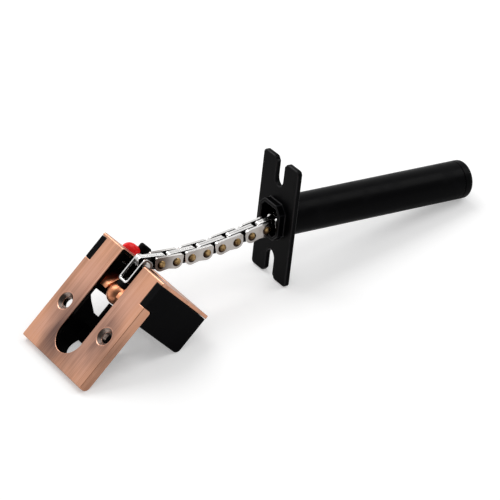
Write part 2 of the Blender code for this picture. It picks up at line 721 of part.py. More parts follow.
def thumb_turn(frame):
    """A black hub on a spindle through the top, with a red domed tip and a cam inside the box."""
    height = TURN_HEIGHT
    crown = arc(TURN_RADIUS - TURN_ROUND, height - TURN_ROUND, TURN_ROUND, 90, 0, CORNER_STEPS)
    reach = -SPINDLE_REACH
    profile = [(0, height), *crown, (TURN_RADIUS, SEAT), (SPINDLE_RADIUS, SEAT)]
    profile += [(SPINDLE_RADIUS, reach), (0, reach)]
    new_piece("turn_hub", turned("turn_hub", profile, KNOB_STEPS), frame, "black_plastic")
    shape = bmesh.new()
    bmesh.ops.create_uvsphere(shape, u_segments=KNOB_STEPS, v_segments=BALL_RINGS, radius=1)
    length = TIP_LENGTH / 2
    bmesh.ops.scale(shape, vec=(length, TIP_WIDTH / 2, TIP_HEIGHT), verts=shape.verts)
    bmesh.ops.translate(shape, vec=(-length, 0, 0), verts=shape.verts)
    tip_mesh = bpy.data.meshes.new("turn_tip")
    shape.to_mesh(tip_mesh)
    shape.free()
    smooth(tip_mesh)
    tip = new_piece("turn_tip", tip_mesh, frame, "red_plastic")
    reach = TIP_LENGTH + OVERRUN
    below = block("tip_foot", (-reach, -reach, -reach), (reach, reach, SEAT))
    boolean(tip, new_piece("tip_foot", below, frame))
    hub_room = rod("hub_room", TURN_RADIUS + SEAT, -OVERRUN, TURN_HEIGHT + OVERRUN, KNOB_STEPS)
    boolean(tip, new_piece("hub_room", hub_room, frame))
    high = -box_top - BOX_WALL - CAM_BELOW / 2
    low = high - CAM_THICKNESS
    flank = math.degrees(math.acos((CAM_RADIUS - CAM_TIP_RADIUS) / CAM_ARM))
    outline = arc(0, 0, CAM_RADIUS, 180 - flank, flank - 180, 4 * CORNER_STEPS)
    outline += arc(-CAM_ARM, 0, CAM_TIP_RADIUS, -180 + flank, -180 - flank, 2 * CORNER_STEPS)
    cam = prism("latch_cam", [outline, circle(0, 0, SPINDLE_RADIUS + FIT, PIN_STEPS)], low, high)
    new_piece("latch_cam", cam, frame, "polished_steel")
    clip_top = low - FIT
    clip_loops = [circle(0, 0, CLIP_RADIUS, KNOB_STEPS), circle(0, 0, SPINDLE_RADIUS + FIT, PIN_STEPS)]
    clip = prism("cam_clip", clip_loops, clip_top - CLIP_THICKNESS, clip_top)
    new_piece("cam_clip", clip, frame, "polished_steel")


def stand_on_origin(rig):
    """Moves the whole model so that the middle of its foot is at the origin."""
    bpy.context.view_layer.update()
    graph = bpy.context.evaluated_depsgraph_get()
    corners = []
    for piece in PARTS.objects:
        if piece.type == "MESH":
            made = piece.evaluated_get(graph)
            corners += [made.matrix_world @ vertex.co for vertex in made.data.vertices]
    low = [min(corner[i] for corner in corners) for i in range(3)]
    high = [max(corner[i] for corner in corners) for i in range(3)]
    rig.location = (-(low[0] + high[0]) / 2, -(low[1] + high[1]) / 2, -low[2])
    bpy.context.view_layer.update()


clear_scene()
PARTS = new_collection("door_chain")
CUTTERS = new_collection("cutters")

rig = new_frame("rig", None)
barrel_frame = new_frame("barrel_frame", rig, (0, 0, face_height()), barrel_tilt())
barrel_tube(barrel_frame)
barrel_cap(barrel_frame)
face_plate(barrel_frame)

pins = pin_places()
stop_frame = new_frame("stop_frame", rig, (pins[0][0], 0, pins[0][1]), barrel_tilt())
chain_stop(stop_frame)
chain(rig, pins)

keeper_x = pins[-1][0] - PIN_BEHIND_FACE * math.cos(keeper_tilt())
keeper_frame = new_frame("keeper_frame", rig, (keeper_x, 0, keeper_height()), keeper_tilt())
clevis_frame = new_frame("clevis_frame", rig, (pins[-1][0], 0, pins[-1][1]), keeper_tilt())
clevis(clevis_frame)
ball_end(clevis_frame)
keeper_shell(keeper_frame)
lock_box(keeper_frame)
jaws(keeper_frame)
slot_liner(keeper_frame)
turn_frame = new_frame("turn_frame", keeper_frame, (TURN_BACK, TURN_ASIDE, 0))
thumb_turn(turn_frame)
stand_on_origin(rig)
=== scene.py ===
"""Looks of the concealed door chain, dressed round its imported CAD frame.

Each CAD solid gets a finished piece in its place: a copy with rounded and worn edges, or a finer
shape of its own, in a procedural material. Lengths are in metres, in the frame's axes, and colours
are linear RGB.
"""

import json
import math

import bmesh
import bpy
from mathutils import Matrix, Vector

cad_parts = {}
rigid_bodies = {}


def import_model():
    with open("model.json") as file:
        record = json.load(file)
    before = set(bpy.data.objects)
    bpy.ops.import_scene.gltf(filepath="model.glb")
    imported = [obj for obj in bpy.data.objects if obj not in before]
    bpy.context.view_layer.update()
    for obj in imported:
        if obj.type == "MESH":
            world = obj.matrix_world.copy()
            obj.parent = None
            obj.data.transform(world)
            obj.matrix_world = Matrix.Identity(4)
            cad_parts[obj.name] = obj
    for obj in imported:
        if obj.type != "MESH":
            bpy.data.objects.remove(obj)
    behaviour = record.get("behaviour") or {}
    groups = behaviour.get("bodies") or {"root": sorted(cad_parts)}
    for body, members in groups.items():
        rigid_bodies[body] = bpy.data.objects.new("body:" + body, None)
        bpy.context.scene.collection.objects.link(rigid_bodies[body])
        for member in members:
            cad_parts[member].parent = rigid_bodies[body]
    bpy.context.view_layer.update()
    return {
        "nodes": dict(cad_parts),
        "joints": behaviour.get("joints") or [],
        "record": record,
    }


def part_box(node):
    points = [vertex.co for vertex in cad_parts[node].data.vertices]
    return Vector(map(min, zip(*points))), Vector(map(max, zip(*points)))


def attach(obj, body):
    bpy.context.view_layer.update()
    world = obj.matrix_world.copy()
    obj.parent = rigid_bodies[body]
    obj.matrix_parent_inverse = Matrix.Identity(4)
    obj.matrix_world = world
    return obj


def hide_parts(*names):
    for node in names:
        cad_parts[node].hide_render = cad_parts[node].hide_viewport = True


# Camera, fitted to the photograph
PHOTO_PIXELS = 500
FOCAL_PIXELS = 2647
SENSOR_WIDTH = 36
CAMERA_PLACE = (-0.6175, -1.0229, 0.8206)
CAMERA_AZIMUTH_DEG = 30.73
CAMERA_ELEVATION_DEG = 33.9
CAMERA_ROLL_DEG = 4.09

# Studio: a pale floor, soft lamps, and a white world that metal sees darker on one side
FLOOR_SIZE = 6.0
FLOOR_COLOUR = (0.80, 0.80, 0.80)
FLOOR_ROUGHNESS = 0.9
FLOOR_GLOW = 0.335
AMBIENT = 0.66
BACKGROUND = 1.0
DARK_SIDE = (-0.45, -0.75, 0.49)
DARK_SIDE_FADE = {"From Min": 0.1, "From Max": 0.8, "To Min": 1.0, "To Max": 0.10}
LAMPS = (
    # name, place, size, watts
    ("key", (0.15, 1.1, 1.6), 1.3, 14),
    ("fill", (1.2, -0.4, 1.1), 1.0, 6),
)

# Which of a piece's materials a face takes
FACE, EDGE, INSIDE, SLOT_WALL = range(4)

# Meshes: when points are one, when faces lie flat to each other, the least cosine of a face that
# looks along an axis, and how finely arcs and edges are made
WELD = 0.000002
FLAT_DEG = 0.4
FLAT_FACE = 0.9
SHARP_DEG = 32
ARC_STEPS = 8
TURNED_STEPS = 48
EDGE_SEGMENTS = 3
EDGE_WIDTH = 0.0002
EDGE_WIDTHS = {
    "keeper_shell": 0.00035,
    "lock_box": 0.0004,
    "face_plate": 0.0005,
    "jaw_near": 0.0003,
    "jaw_far": 0.0003,
    "cam_clip": 0.0001,
}

# Link plates: a straight upper edge, square-shouldered ends and two lobes below
PLATE_END = 0.00415
PLATE_ABOVE = 0.0044
PLATE_SHOULDER = 0.0018
PLATE_LOBE = 0.0040
PLATE_WAIST = 0.0032
PLATE_HOLE = 0.0019
PLATE_HOLE_STEPS = 24
PLATE_EDGE = 0.00015
LEFT_LOBE_DEG = (195, 290)
RIGHT_LOBE_DEG = (250, 345)

# The two links nearest the barrel fold the most, so their ends are rounder
MOUTH_PLATES = ("outer_plate_4", "outer_plate_5")
MOUTH_PLATE_END = 0.00405
MOUTH_SHOULDER = 0.0024

# The outer link nearest the clevis takes a brown painted reflection of the copper keeper
PAINTED_REFLECTION_PLATES = ("outer_plate_1",)

# Rivets
RIVET_DOME = 0.0007
RIVET_SHOULDER = 0.00078
RIVET_HEAD_RADIUS = 0.00245
RIVET_CLEARANCE = 0.0001
DOME_STEPS = 6

# The keeper's holes and slot, in its own frame: x back from its face, y across, z up from its top
SINK_RADIUS = 0.0052
SINK_DEPTH = 0.0021
SINK_FOOT_RADIUS = 0.0031
HOLE_SPACING = 0.041
HOLE_DROP = 0.0413
SLEEVE_RADIUS = 0.0043
SLEEVE_START = 0.0021
SLEEVE_END = 0.0048
SLOT_HALF = 0.0105
SLOT_CENTRE_DROP = 0.0525
SLOT_FOOT_DROP = 0.0635
SLOT_TOP_DROP = 0.0010
SLOT_FRONT = 0.0018
SLOT_REACH = 0.007

# The slot's liner: its outline seen from the side, and the wall across its back
LINER_GAP = 0.0003
LINER_WALL = 0.0018
LINER_SIDE = (
    (0.0028, -0.0300),
    (0.0055, -0.0323),
    (0.0130, -0.0370),
    (0.0184, -0.0374),
    (0.0184, -0.0265),
    (0.0210, -0.0265),
    (0.0210, -0.0480),
    (0.0143, -0.0567),
    (0.0098, -0.0627),
    (0.0074, -0.0658),
    (0.0028, -0.0662),
)
LINER_BACK = ((0.0140, -0.0440), (0.0154, -0.0440), (0.0154, -0.0535), (0.0140, -0.0535))

# The lock box's front tabs, which grow to fill the keeper's notches
TAB_GROWTH = 0.00025
TAB_DEPTH = 0.0029
TAB_SIDE = 0.0260
TAB_INNER_SIDE = 0.027075
TAB_FOOT = 0.0163

# The clevis's chamfers, and the face plate's screw slots, drawn in
CLEVIS_RIM = 0.0006
SLOT_NARROWING = 0.82
PLATE_SLOT_HALF = 0.0046
PLATE_SLOT_START = 0.0190

# Thumb turn: a taller hub, and a tip like half an egg with a blunt end at the hub. The blunting
# stops short of the pole, where it would divide by zero.
HUB_SHOULDER = 0.0040
HUB_RISE = 0.0018
TURN_ASIDE = 0.0215
TIP_CENTRE = 0.0150
TIP_HALF_LENGTH = 0.0064
TIP_HUB_LENGTH = 0.0043
TIP_HALF_WIDTH = 0.0040
TIP_HEIGHT = 0.0046
TIP_LIFT = 0.0003
TIP_EGG = 0.12
TIP_BLUNT_POWER = 0.25
TIP_POLE = 0.999
TIP_RINGS = 24
TIP_SHARP_DEG = 64

# Copper: its tones, and how its patina and its brighter rim fade with place
COPPER_MEAN = (0.50, 0.27, 0.20)
COPPER_FACE = (0.740, 0.380, 0.262)
COPPER_RIM = (0.800, 0.390, 0.235)
COPPER_HAIRLINE = (0.86, 0.53, 0.40)
COPPER_PATINA = (0.165, 0.098, 0.083)
HOLE_STAIN = {"start": 0.004, "end": 0.022, "low": 0.44, "high": 0.0}
FOOT_STAIN = {"start": 0.009, "end": 0.025, "low": 0.40, "high": 0.0}
MIDDLE_STAIN = {"start": 0.010, "end": 0.026, "low": 0.20, "high": 0.0}
SIDE_RIM = {"start": 0.021, "end": 0.0300}
FOOT_RIM = {"start": -0.057, "end": -0.069}
TOP_RIM = {"start": -0.022, "end": -0.004}

# Ball and jaws: polished copper that turns red and then black with height, in the keeper's shade
POLISHED_MEAN = (0.72, 0.33, 0.20)
POLISHED_BRIGHT = (0.92, 0.40, 0.21)
POLISHED_SMEARED = (0.70, 0.27, 0.14)
SHADE_RED = (0.20, 0.030, 0.016)
SHADE_BLACK = (0.010, 0.006, 0.006)
SHADE_WAVER = 0.002
RED_BELOW = 0.006
BLACK_BELOW = 0.001
BLACK_ABOVE = 0.004
JAW_SHADE_HEIGHT = -0.0135
BALL_SHADE_HEIGHT = 0.0

# Nickel's brown painted reflection of the copper keeper, by the distance from the clevis's pin, and
# the bronze rivets' tones and painted shade
PAINTED_REFLECTION_BROWN = (0.075, 0.038, 0.025)
PAINTED_REFLECTION_WAVER = 0.006
PAINTED_REFLECTION_START = 0.012
PAINTED_REFLECTION_END = 0.023
BRONZE_MEAN = (0.36, 0.23, 0.10)
BRONZE_GOLD = (0.50, 0.33, 0.15)
BRONZE_BROWN = (0.30, 0.18, 0.07)
BRONZE_PAINTED_SHADE = (0.035, 0.018, 0.010)
BRONZE_PAINTED_SHADE_SIDE = (-0.75, 0.0, -0.66)
BLOTCH_LIGHTENING = 2.2


class Finish:
    """A material with a Principled shader, and short ways to add nodes to it."""

    def __init__(self, name, colour, roughness, metallic=0.0):
        self.material = bpy.data.materials.new(name)
        self.material.use_nodes = True
        self.material.diffuse_color = (*colour, 1)
        self.tree = self.material.node_tree
        self.shader = self.tree.nodes["Principled BSDF"]
        self.set("Base Color", (*colour, 1))
        self.set("Roughness", roughness)
        self.set("Metallic", metallic)

    def set(self, socket, value):
        self.shader.inputs[socket].default_value = value

    def link(self, output, socket):
        self.tree.links.new(output, self.shader.inputs[socket])

    def node(self, kind, values=(), **settings):
        """A node whose inputs, by name or number, take values or other nodes' outputs."""
        made = self.tree.nodes.new(kind)
        for setting, value in settings.items():
            setattr(made, setting, value)
        for socket, value in dict(values).items():
            if isinstance(value, bpy.types.NodeSocket):
                self.tree.links.new(value, made.inputs[socket])
            else:
                made.inputs[socket].default_value = value
        return made

    def place(self, origin=(0, 0, 0), turn=0.0):
        """Object coordinates seen from a frame with its own origin, turned about Y."""
        coordinates = self.node("ShaderNodeTexCoord").outputs["Object"]
        values = {"Vector": coordinates, "Location": origin, "Rotation": (0, turn, 0)}
        return self.node("ShaderNodeMapping", values, vector_type="TEXTURE").outputs[0]

    def drawn_out(self, vector, share):
        """Coordinates in which a pattern is drawn out along Z."""
        return self.math3("MULTIPLY", vector, (1, 1, share))

    def part(self, vector, axis):
        return self.node("ShaderNodeSeparateXYZ", {0: vector}).outputs[axis]

    def math(self, operation, a, b=0.0, clamp=False):
        made = self.node("ShaderNodeMath", {0: a, 1: b}, operation=operation, use_clamp=clamp)
        return made.outputs[0]

    def math3(self, operation, a, b=(0, 0, 0)):
        made = self.node("ShaderNodeVectorMath", {0: a, 1: b}, operation=operation)
        return made.outputs["Value" if operation in ("DISTANCE", "DOT_PRODUCT") else "Vector"]

    def noise(self, vector, scale, detail=3.0, rough=0.6):
        values = {"Vector": vector, "Scale": scale, "Detail": detail, "Roughness": rough}
        return self.node("ShaderNodeTexNoise", values).outputs[0]

    def fade(self, value, start, end, low=0.0, high=1.0):
        """A number that goes smoothly from low to high while a value goes from start to end."""
        values = {"Value": value, "From Min": start, "From Max": end, "To Min": low, "To Max": high}
        made = self.node("ShaderNodeMapRange", values, interpolation_type="SMOOTHSTEP")
        return made.outputs[0]

    def mix(self, share, a, b):
        """A colour share of the way from a to b. Inputs 6 and 7 and output 2 are the colours."""
        a = a if isinstance(a, bpy.types.NodeSocket) else (*a, 1)
        b = b if isinstance(b, bpy.types.NodeSocket) else (*b, 1)
        made = self.node("ShaderNodeMix", {0: share, 6: a, 7: b}, data_type="RGBA")
        return made.outputs[2]

    def bump(self, height, depth, strength):
        values = {"Height": height, "Distance": depth, "Strength": strength}
        self.link(self.node("ShaderNodeBump", values).outputs[0], "Normal")


def copper(name, wear):
    """Brushed antique copper: hairlines up the face, and brown patina left round its holes."""
    look = Finish(name, COPPER_MEAN, roughness=0.3, metallic=1.0)
    local = look.place(corner, keeper_turn)
    fine = look.noise(look.drawn_out(local, 0.010), scale=1900, detail=2.0)
    broad = look.noise(look.drawn_out(local, 0.022), scale=420, detail=2.0, rough=0.4)
    cloud = look.noise(look.drawn_out(local, 0.35), scale=60, detail=3.0, rough=0.5)
    fine_share = look.math("MULTIPLY", fine, 0.6)
    streaks = look.math("ADD", fine_share, look.math("MULTIPLY", broad, 0.4))

    aside = look.math("ABSOLUTE", look.part(local, "Y"))
    height = look.part(local, "Z")
    spot = look.node("ShaderNodeCombineXYZ", {1: aside, 2: height}).outputs[0]
    hole = look.math3("DISTANCE", spot, (0, HOLE_SPACING / 2, -HOLE_DROP))
    foot = look.math3("DISTANCE", spot, (0, 0, -SLOT_CENTRE_DROP))
    stain = look.math("MAXIMUM", look.fade(hole, **HOLE_STAIN), look.fade(foot, **FOOT_STAIN))
    stain = look.math("ADD", stain, look.fade(aside, **MIDDLE_STAIN))
    stain = look.math("ADD", stain, look.fade(cloud, 0.35, 0.70, low=-0.14, high=0.34))
    stain = look.math("ADD", stain, look.fade(streaks, 0.35, 0.65, low=0.10, high=-0.10))
    stain = look.math("MULTIPLY", stain, wear, clamp=True)

    rim = look.math("MAXIMUM", look.fade(aside, **SIDE_RIM), look.fade(height, **FOOT_RIM))
    rim = look.math("MAXIMUM", rim, look.fade(height, **TOP_RIM))
    bright = look.mix(rim, COPPER_FACE, COPPER_RIM)
    hairlines = look.fade(streaks, 0.35, 0.65, low=0.0, high=0.4)
    bright = look.mix(hairlines, bright, COPPER_HAIRLINE)
    look.link(look.mix(stain, bright, COPPER_PATINA), "Base Color")
    look.link(look.fade(streaks, 0.3, 0.7, low=0.27, high=0.36), "Roughness")
    look.bump(fine, depth=0.00001, strength=0.35)
    return look.material


def polished_copper(name, dark_above):
    """Smooth copper of the ball and the jaws, with painted shade, red and then black, above a height
    in the keeper's frame.
    """
    look = Finish(name, POLISHED_MEAN, roughness=0.16, metallic=1.0)
    local = look.place(corner, keeper_turn)
    smear = look.noise(local, scale=260)
    height = look.math("ADD", look.part(local, "Z"), look.math("MULTIPLY", smear, SHADE_WAVER))
    tone = look.mix(look.fade(smear, 0.35, 0.7), POLISHED_BRIGHT, POLISHED_SMEARED)
    # Painted shade: red, then black, above the height where the keeper's shade falls
    red = look.fade(height, dark_above - RED_BELOW, dark_above)
    black = look.fade(height, dark_above - BLACK_BELOW, dark_above + BLACK_ABOVE)
    tone = look.mix(black, look.mix(red, tone, SHADE_RED), SHADE_BLACK)
    look.link(tone, "Base Color")
    look.link(look.fade(smear, 0.3, 0.7, low=0.30, high=0.42), "Roughness")
    look.bump(smear, depth=0.00004, strength=0.3)
    return look.material


def nickel(name, colour, smeared, smooth, rough, painted_reflection=0.0):
    """Barrel-polished nickel with faint smears, and a brown painted reflection of the copper keeper
    where the chain meets the clevis.
    """
    look = Finish(name, colour, smooth, metallic=1.0)
    local = look.place()
    smear = look.noise(local, scale=140, detail=2.0, rough=0.4)
    tone = look.mix(look.fade(smear, 0.35, 0.75), colour, smeared)
    away = look.math3("DISTANCE", local, Vector(joint("clevis_pivot")["pos_m"]))
    away = look.math("ADD", away, look.math("MULTIPLY", smear, PAINTED_REFLECTION_WAVER))
    # Brown painted reflection of the copper keeper, fading out with distance from the clevis's pin
    brown = look.fade(away, PAINTED_REFLECTION_START, PAINTED_REFLECTION_END, low=painted_reflection, high=0.0)
    look.link(look.mix(brown, tone, PAINTED_REFLECTION_BROWN), "Base Color")
    scuffs = look.noise(local, scale=420, detail=2.0)
    look.link(look.fade(scuffs, 0.35, 0.7, low=smooth, high=rough), "Roughness")
    look.bump(look.noise(local, scale=260, detail=1.0), depth=0.00004, strength=0.25)
    return look.material


def bronze(name):
    """Bronze rivets, gold and brown at random, with painted shade on the side of their domes turned
    towards -x and down.
    """
    look = Finish(name, BRONZE_MEAN, roughness=0.3, metallic=1.0)
    local = look.place()
    stain = look.noise(local, scale=700, detail=2.0)
    normal = look.node("ShaderNodeTexCoord").outputs["Normal"]
    # Painted shade: the side of each dome turned towards -x and down goes nearly black
    side = look.math3("DOT_PRODUCT", normal, BRONZE_PAINTED_SHADE_SIDE)
    side = look.math("ADD", side, look.math("MULTIPLY", stain, 0.25))
    gold = look.mix(look.fade(stain, 0.35, 0.7), BRONZE_GOLD, BRONZE_BROWN)
    look.link(look.mix(look.fade(side, 0.02, 0.34), gold, BRONZE_PAINTED_SHADE), "Base Color")
    look.link(look.fade(stain, 0.3, 0.7, low=0.22, high=0.36), "Roughness")
    look.bump(look.noise(local, scale=1500, detail=2.0), depth=0.00002, strength=0.3)
    return look.material


def dark_metal(name, colour, smooth, rough):
    """Blotched metal left unpolished, as in the slot and the countersinks, and near-black painted
    shade between the chain's plates, in the clevis and on the stud.
    """
    look = Finish(name, colour, smooth, metallic=1.0)
    local = look.place()
    blotch = look.noise(local, scale=260, detail=4.0)
    lighter = [channel * BLOTCH_LIGHTENING for channel in colour]
    look.link(look.mix(look.fade(blotch, 0.45, 0.75), colour, lighter), "Base Color")
    look.link(look.fade(blotch, 0.3, 0.7, low=smooth, high=rough), "Roughness")
    look.bump(look.noise(local, scale=1400), depth=0.00003, strength=0.5)
    return look.material


def coated(name, colour, rubbed, roughness, grain, depth, specular):
    """Paint or moulded plastic: fine grain, uneven sheen and faint rubbed patches."""
    look = Finish(name, colour, roughness)
    look.set("Specular IOR Level", specular)
    local = look.place()
    patches = look.fade(look.noise(local, scale=55, detail=4.0), 0.45, 0.75)
    look.link(look.mix(patches, colour, rubbed), "Base Color")
    fine = look.noise(local, scale=grain)
    uneven = look.math("ADD", fine, patches)
    look.link(look.fade(uneven, 0.4, 1.3, low=roughness, high=roughness + 0.15), "Roughness")
    look.bump(fine, depth, strength=0.7)
    return look.material


def body_of(node):
    for body, members in frame["record"]["behaviour"]["bodies"].items():
        if node in members:
            return body
    raise ValueError(node)


def slot_of(node):
    rows = frame["record"]["subparts"]
    return next(row["material_slot"] for row in rows if row["node"] == node)


def joint(name):
    return next(found for found in frame["joints"] if found["name"] == name)


def stand_for(piece, node):
    """The piece rides with the node's body and is shown in its place."""
    bpy.context.scene.collection.objects.link(piece)
    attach(piece, body_of(node))
    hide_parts(node)


def join_flat_faces(shape):
    angle = math.radians(FLAT_DEG)
    bmesh.ops.dissolve_limit(shape, angle_limit=angle, verts=shape.verts, edges=shape.edges)


def copy_of(node):
    """A CAD node's mesh with its flat faces joined up."""
    source = frame["nodes"][node].data
    mesh = bpy.data.meshes.new(f"{node}_finish")
    faces = [list(face.vertices) for face in source.polygons]
    mesh.from_pydata([vert.co for vert in source.vertices], [], faces)
    shape = bmesh.new()
    shape.from_mesh(mesh)
    bmesh.ops.remove_doubles(shape, verts=shape.verts, dist=WELD)
    join_flat_faces(shape)
    shape.to_mesh(mesh)
    shape.free()
    return mesh


def finished(node, mesh, looks):
    """A piece that stands for the node. Its looks are those of FACE, EDGE and so on."""
    faces = [face.material_index for face in mesh.polygons]
    mesh.materials.clear()
    for look in looks:
        mesh.materials.append(look)
    mesh.polygons.foreach_set("material_index", faces)
    mesh.shade_smooth()
    piece = bpy.data.objects.new(f"{node}_finish", mesh)
    stand_for(piece, node)
    return piece


def round_edges(piece, width, kept_sharp=None):
    """Rounds a piece's edges, apart from those whose middle the test kept_sharp picks."""
    bevel = piece.modifiers.new("edges", "BEVEL")
    bevel.width = width
    bevel.segments = EDGE_SEGMENTS
    bevel.limit_method = "ANGLE"
    bevel.angle_limit = math.radians(SHARP_DEG)
    if kept_sharp:
        bevel.limit_method = "WEIGHT"
        shape = bmesh.new()
        shape.from_mesh(piece.data)
        weight = shape.edges.layers.float.new("bevel_weight_edge")
        for edge in shape.edges:
            middle = (edge.verts[0].co + edge.verts[1].co) / 2
            sharp = len(edge.link_faces) == 2 and edge.calc_face_angle() > bevel.angle_limit
            edge[weight] = float(sharp and not kept_sharp(middle))
        shape.to_mesh(piece.data)
        shape.free()
    bevel.use_clamp_overlap = False
    bevel.harden_normals = True
    bevel.material = EDGE


def cut(piece, cutter, operation="DIFFERENCE"):
    """Applies a boolean with a cutter, whose faces keep their own look, and removes the cutter."""
    bpy.context.scene.collection.objects.link(cutter)
    modifier = piece.modifiers.new("cut", "BOOLEAN")
    modifier.solver = "EXACT"
    modifier.operation = operation
    modifier.object = cutter
    modifier.material_mode = "TRANSFER"
    bpy.context.view_layer.update()
    view = bpy.context.evaluated_depsgraph_get()
    made = bpy.data.meshes.new_from_object(piece.evaluated_get(view))
    piece.modifiers.remove(modifier)
    piece.data = made
    bpy.data.objects.remove(cutter)


def arc(centre_x, centre_y, radius, start, end, steps=ARC_STEPS):
    """Points along an arc, from one angle in degrees to another."""
    angles = [math.radians(start + (end - start) * i / steps) for i in range(steps + 1)]
    return [(centre_x + radius * math.cos(a), centre_y + radius * math.sin(a)) for a in angles]


def prism(name, loops, low, high, axes, origin):
    """A flat outline with its holes, pushed out from low to high. The axes are those of the
    outline's two directions and of the push."""
    curve = bpy.data.curves.new(name, "CURVE")
    curve.dimensions = "2D"
    curve.fill_mode = "BOTH"
    curve.extrude = (high - low) / 2
    for loop in loops:
        spline = curve.splines.new("POLY")
        spline.points.add(len(loop) - 1)
        spline.use_cyclic_u = True
        for point, (x, y) in zip(spline.points, loop):
            point.co = (x, y, 0, 1)
    guide = bpy.data.objects.new(name, curve)
    bpy.context.scene.collection.objects.link(guide)
    view = bpy.context.evaluated_depsgraph_get()
    mesh = bpy.data.meshes.new_from_object(guide.evaluated_get(view))
    bpy.data.objects.remove(guide)
    shape = bmesh.new()
    shape.from_mesh(mesh)
    bmesh.ops.remove_doubles(shape, verts=shape.verts, dist=WELD)
    bmesh.ops.translate(shape, verts=shape.verts, vec=(0, 0, (low + high) / 2))
    turn = Matrix(axes).transposed().to_4x4()
    bmesh.ops.transform(shape, matrix=Matrix.Translation(origin) @ turn, verts=shape.verts)
    bmesh.ops.recalc_face_normals(shape, faces=shape.faces)
    join_flat_faces(shape)
    shape.to_mesh(mesh)
    shape.free()
    return mesh


def turned(name, profile, centre, axis):
    """A closed shape turned about an axis, from a profile of (radius, height) points."""
    shape = bmesh.new()
    points = [shape.verts.new((radius, 0, height)) for radius, height in profile]
    edges = [shape.edges.new(pair) for pair in zip(points, points[1:])]
    bmesh.ops.spin(
        shape,
        geom=points + edges,
        cent=(0, 0, 0),
        axis=(0, 0, 1),
        angle=2 * math.pi,
        steps=TURNED_STEPS,
        use_merge=True,
    )
    bmesh.ops.remove_doubles(shape, verts=shape.verts, dist=WELD)
    turn = Vector((0, 0, 1)).rotation_difference(Vector(axis)).to_matrix().to_4x4()
    bmesh.ops.transform(shape, matrix=Matrix.Translation(centre) @ turn, verts=shape.verts)
    bmesh.ops.recalc_face_normals(shape, faces=shape.faces)
    mesh = bpy.data.meshes.new(name)
    shape.to_mesh(mesh)
    shape.free()
    mesh.shade_smooth()
    mesh.set_sharp_from_angle(angle=math.radians(SHARP_DEG))
    return mesh


def middle_of(node):
    low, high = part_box(node)
    return (low + high) / 2


def add_camera():
    azimuth = math.radians(CAMERA_AZIMUTH_DEG)
    elevation = math.radians(CAMERA_ELEVATION_DEG)
    roll = math.radians(CAMERA_ROLL_DEG)
    level = math.cos(elevation)
    ahead = Vector((math.sin(azimuth) * level, math.cos(azimuth) * level, -math.sin(elevation)))
    right = ahead.cross(Vector((0, 0, 1))).normalized()
    down = ahead.cross(right)
    camera_x = right * math.cos(roll) + down * math.sin(roll)
    camera_y = right * math.sin(roll) - down * math.cos(roll)
    turn = Matrix((camera_x, camera_y, -ahead)).transposed()
    camera = bpy.data.objects.new("camera", bpy.data.cameras.new("camera"))
    bpy.context.scene.collection.objects.link(camera)
    camera.matrix_world = Matrix.Translation(CAMERA_PLACE) @ turn.to_4x4()
    camera.data.sensor_width = SENSOR_WIDTH
    camera.data.lens = FOCAL_PIXELS / PHOTO_PIXELS * SENSOR_WIDTH
    bpy.context.scene.camera = camera


def add_floor():
    """A pale floor, lifted to white for the camera alone, which keeps the object's shadow."""
    shape = bmesh.new()
    bmesh.ops.create_grid(shape, x_segments=1, y_segments=1, size=FLOOR_SIZE / 2)
    mesh = bpy.data.meshes.new("floor")
    shape.to_mesh(mesh)
    shape.free()
    floor = bpy.data.objects.new("floor", mesh)
    bpy.context.scene.collection.objects.link(floor)
    look = Finish("floor", FLOOR_COLOUR, FLOOR_ROUGHNESS)
    seen = look.node("ShaderNodeLightPath").outputs["Is Camera Ray"]
    look.set("Emission Color", (1, 1, 1, 1))
    look.link(look.math("MULTIPLY", seen, FLOOR_GLOW), "Emission Strength")
    mesh.materials.append(look.material)


def add_world():
    """A plain world: white to the camera and through glass, and darker on one side to metal."""
    world = bpy.data.worlds.new("studio")
    world.use_nodes = True
    tree = world.node_tree
    tree.nodes.clear()
    rays = tree.nodes.new("ShaderNodeLightPath")
    direction = tree.nodes.new("ShaderNodeTexCoord").outputs["Generated"]
    facing = tree.nodes.new("ShaderNodeVectorMath")
    facing.operation = "DOT_PRODUCT"
    facing.inputs[1].default_value = DARK_SIDE
    tree.links.new(direction, facing.inputs[0])
    shade = tree.nodes.new("ShaderNodeMapRange")
    shade.interpolation_type = "SMOOTHSTEP"
    for socket, value in DARK_SIDE_FADE.items():
        shade.inputs[socket].default_value = value
    tree.links.new(facing.outputs["Value"], shade.inputs["Value"])

    def choose(share, low, high):
        """A number share of the way from low to high. Inputs 2 and 3 are the numbers."""
        made = tree.nodes.new("ShaderNodeMix")
        for socket, value in ((0, share), (2, low), (3, high)):
            if isinstance(value, bpy.types.NodeSocket):
                tree.links.new(value, made.inputs[socket])
            else:
                made.inputs[socket].default_value = value
        return made.outputs[0]

    strength = choose(rays.outputs["Is Glossy Ray"], AMBIENT, shade.outputs[0])
    strength = choose(rays.outputs["Is Transmission Ray"], strength, BACKGROUND)
    strength = choose(rays.outputs["Is Camera Ray"], strength, BACKGROUND)
    background = tree.nodes.new("ShaderNodeBackground")
    tree.links.new(strength, background.inputs["Strength"])
    output = tree.nodes.new("ShaderNodeOutputWorld")
    tree.links.new(background.outputs[0], output.inputs[0])
    bpy.context.scene.world = world


def add_lamps():
    for name, place, size, watts in LAMPS:
        lamp = bpy.data.objects.new(name, bpy.data.lights.new(name, "AREA"))
        lamp.data.shape = "DISK"
        lamp.data.size = size
        lamp.data.energy = watts
        lamp.location = place
        lamp.rotation_euler = (-Vector(place)).to_track_quat("-Z", "Y").to_euler()
        bpy.context.scene.collection.objects.link(lamp)


